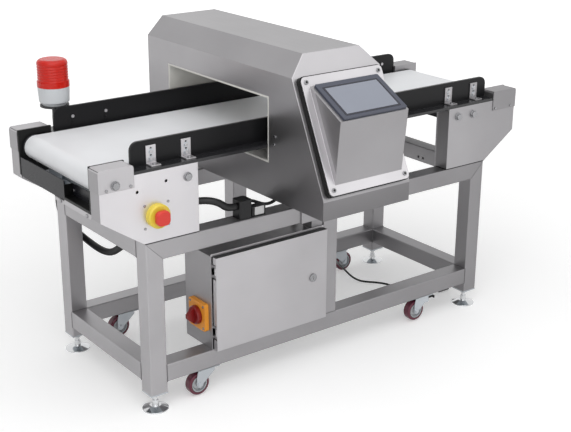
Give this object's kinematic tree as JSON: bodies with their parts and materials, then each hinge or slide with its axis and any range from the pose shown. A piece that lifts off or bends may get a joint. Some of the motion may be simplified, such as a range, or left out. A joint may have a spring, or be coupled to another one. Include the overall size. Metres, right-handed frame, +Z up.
{
  "type": "conveyor metal detector",
  "caption": "Conveyor metal detector on a castered steel stand, with a belt through a tunnel head, sloped touch panel, side guides, cabinet, beacon and emergency stop",
  "frame": {"origin": "on the floor, under the middle of the machine's outline in plan, leaving out the free power cord", "axes": "+X along the belt from infeed to outfeed, -Y the operator's side with the sloped control box, +Z up"},
  "size_m": [1.434, 0.8502, 0.912],
  "materials": {
    "stainless": "satin brushed",
    "white_belt": "smooth white belting",
    "black_plastic": "satin black plastic",
    "white_plastic": "white liner plastic",
    "chrome_steel": "bright plated",
    "zinc_steel": "bright zinc",
    "maroon_rubber": "polyurethane tread",
    "red_lens": "translucent red",
    "grey_plastic": "light grey moulding",
    "orange_plastic": "orange moulding",
    "dark_red_plastic": "dark red moulding",
    "yellow_plastic": "yellow moulding",
    "red_plastic": "red moulding",
    "panel_blue": "dark blue-grey bezel",
    "dark_paint": "dark grey paint",
    "motor_paint": "grey painted castings",
    "cord_rubber": "black cable sheath",
    "black_rubber": "black seal rubber",
    "roller_alloy": "turned alloy"
  },
  "bodies": {
    "machine": {"frame_uprights": "stainless", "frame_long_rails": "stainless", "frame_cross_rails": "stainless", "mounting_plates": "zinc_steel", "side_covers": "stainless", "cover_end_caps": "stainless", "conveyor_side_plates": "stainless", "roller_bearings": "dark_paint", "slider_bed": "stainless", "bed_side_rails": "black_plastic", "conveyor_cross_members": "dark_paint", "conveyor_belt": "white_belt", "gear_motor": "motor_paint", "timing_belt": "black_rubber", "guide_brackets": "stainless", "detector_head": "stainless", "aperture_liner": "white_plastic", "coil_block": "white_plastic", "head_supports": "stainless", "control_box_gasket": "black_rubber", "control_box": "stainless", "touch_panel": "panel_blue", "cabinet_body": "stainless", "cabinet_equipment": "grey_plastic", "isolator_plate": "orange_plastic", "estop_housing": "yellow_plastic", "beacon_base": "grey_plastic", "beacon_lens": "red_lens", "conduit": "cord_rubber", "junction_box": "black_plastic", "cord_gland": "cord_rubber", "power_cord": "cord_rubber", "cord_coil": "cord_rubber", "power_plug": "cord_rubber", "machine_screws": "chrome_steel"},
    "foot_front_left": {"levelling_foot_front_left": "chrome_steel"},
    "fork_front_left": {"caster_fork_front_left": "zinc_steel"},
    "wheel_front_left": {"caster_wheel_front_left": "maroon_rubber"},
    "foot_front_right": {"levelling_foot_front_right": "chrome_steel"},
    "fork_front_right": {"caster_fork_front_right": "zinc_steel"},
    "wheel_front_right": {"caster_wheel_front_right": "maroon_rubber"},
    "foot_back_left": {"levelling_foot_back_left": "chrome_steel"},
    "fork_back_left": {"caster_fork_back_left": "zinc_steel"},
    "wheel_back_left": {"caster_wheel_back_left": "maroon_rubber"},
    "foot_back_right": {"levelling_foot_back_right": "chrome_steel"},
    "fork_back_right": {"caster_fork_back_right": "zinc_steel"},
    "wheel_back_right": {"caster_wheel_back_right": "maroon_rubber"},
    "pedal_front_right": {"brake_pedal_front_right": "zinc_steel"},
    "pedal_back_right": {"brake_pedal_back_right": "zinc_steel"},
    "drive_roller": {"drive_roller": "roller_alloy"},
    "idler_roller": {"idler_roller": "roller_alloy"},
    "return_roller_infeed": {"return_roller_infeed": "roller_alloy"},
    "return_roller_outfeed": {"return_roller_outfeed": "roller_alloy"},
    "motor_pulley": {"motor_pulley": "roller_alloy"},
    "front_guide": {"front_guide": "black_plastic"},
    "back_guide": {"back_guide": "black_plastic"},
    "door": {"cabinet_door": "stainless"},
    "lock": {"door_lock": "chrome_steel"},
    "isolator": {"isolator_knob": "dark_red_plastic"},
    "estop": {"estop_button": "red_plastic"}
  },
  "joints": [
    {"name": "foot_front_left_height", "type": "slide", "parent": "machine", "child": "foot_front_left", "axis": [0, 0, -1], "range_m": [0, 0.02]},
    {"name": "caster_front_left_swivel", "type": "hinge", "parent": "machine", "child": "fork_front_left", "pos_m": [-0.412, -0.15093, 0.072], "axis": [0, 0, 1], "continuous": true},
    {"name": "caster_front_left_roll", "type": "hinge", "parent": "fork_front_left", "child": "wheel_front_left", "pos_m": [-0.439, -0.15093, 0.034], "axis": [0, 1, 0], "continuous": true},
    {"name": "foot_front_right_height", "type": "slide", "parent": "machine", "child": "foot_front_right", "axis": [0, 0, -1], "range_m": [0, 0.02]},
    {"name": "caster_front_right_swivel", "type": "hinge", "parent": "machine", "child": "fork_front_right", "pos_m": [0.38, -0.15093, 0.072], "axis": [0, 0, 1], "continuous": true},
    {"name": "caster_front_right_roll", "type": "hinge", "parent": "fork_front_right", "child": "wheel_front_right", "pos_m": [0.353, -0.15093, 0.034], "axis": [0, 1, 0], "continuous": true},
    {"name": "foot_back_left_height", "type": "slide", "parent": "machine", "child": "foot_back_left", "axis": [0, 0, -1], "range_m": [0, 0.02]},
    {"name": "caster_back_left_swivel", "type": "hinge", "parent": "machine", "child": "fork_back_left", "pos_m": [-0.407, 0.28908, 0.072], "axis": [0, 0, 1], "continuous": true},
    {"name": "caster_back_left_roll", "type": "hinge", "parent": "fork_back_left", "child": "wheel_back_left", "pos_m": [-0.434, 0.28908, 0.034], "axis": [0, 1, 0], "continuous": true},
    {"name": "foot_back_right_height", "type": "slide", "parent": "machine", "child": "foot_back_right", "axis": [0, 0, -1], "range_m": [0, 0.02]},
    {"name": "caster_back_right_swivel", "type": "hinge", "parent": "machine", "child": "fork_back_right", "pos_m": [0.405, 0.28908, 0.072], "axis": [0, 0, 1], "continuous": true},
    {"name": "caster_back_right_roll", "type": "hinge", "parent": "fork_back_right", "child": "wheel_back_right", "pos_m": [0.432, 0.28908, 0.034], "axis": [0, 1, 0], "continuous": true},
    {"name": "caster_front_right_brake", "type": "hinge", "parent": "fork_front_right", "child": "pedal_front_right", "pos_m": [0.395, -0.15093, 0.0597], "axis": [0, 1, 0], "range_deg": [0, 12]},
    {"name": "caster_back_right_brake", "type": "hinge", "parent": "fork_back_right", "child": "pedal_back_right", "pos_m": [0.39, 0.28908, 0.0597], "axis": [0, -1, 0], "range_deg": [0, 12]},
    {"name": "drive_roller_turn", "type": "hinge", "parent": "machine", "child": "drive_roller", "pos_m": [-0.672, 0.06907, 0.638], "axis": [0, 1, 0], "continuous": true},
    {"name": "idler_roller_turn", "type": "hinge", "parent": "machine", "child": "idler_roller", "pos_m": [0.672, 0.06907, 0.638], "axis": [0, 1, 0], "continuous": true},
    {"name": "return_roller_infeed_turn", "type": "hinge", "parent": "machine", "child": "return_roller_infeed", "pos_m": [-0.47, 0.06907, 0.6297], "axis": [0, 1, 0], "continuous": true},
    {"name": "return_roller_outfeed_turn", "type": "hinge", "parent": "machine", "child": "return_roller_outfeed", "pos_m": [0.47, 0.06907, 0.6297], "axis": [0, 1, 0], "continuous": true},
    {"name": "motor_shaft_turn", "type": "hinge", "parent": "machine", "child": "motor_pulley", "pos_m": [-0.59, 0.06907, 0.558], "axis": [0, 1, 0], "continuous": true},
    {"name": "front_guide_height", "type": "slide", "parent": "machine", "child": "front_guide", "axis": [0, 0, 1], "range_m": [0, 0.008]},
    {"name": "back_guide_height", "type": "slide", "parent": "machine", "child": "back_guide", "axis": [0, 0, 1], "range_m": [0, 0.008]},
    {"name": "cabinet_door_swing", "type": "hinge", "parent": "machine", "child": "door", "pos_m": [-0.395, -0.18543, 0.264], "axis": [0, 0, -1], "range_deg": [0, 110]},
    {"name": "door_lock_turn", "type": "hinge", "parent": "door", "child": "lock", "pos_m": [-0.08, -0.18593, 0.264], "axis": [0, 1, 0], "range_deg": [0, 90]},
    {"name": "isolator_turn", "type": "hinge", "parent": "machine", "child": "isolator", "pos_m": [-0.416, -0.12093, 0.218], "axis": [-1, 0, 0], "range_deg": [0, 90]},
    {"name": "estop_press", "type": "slide", "parent": "machine", "child": "estop", "axis": [0, 1, 0], "range_m": [0, 0.006]}
  ],
  "couplings": [
    {"joint": "idler_roller_turn", "follows": "drive_roller_turn", "ratio": 1},
    {"joint": "return_roller_infeed_turn", "follows": "drive_roller_turn", "ratio": -3.1},
    {"joint": "return_roller_outfeed_turn", "follows": "drive_roller_turn", "ratio": -3.1},
    {"joint": "motor_shaft_turn", "follows": "drive_roller_turn", "ratio": 1.444}
  ]
}
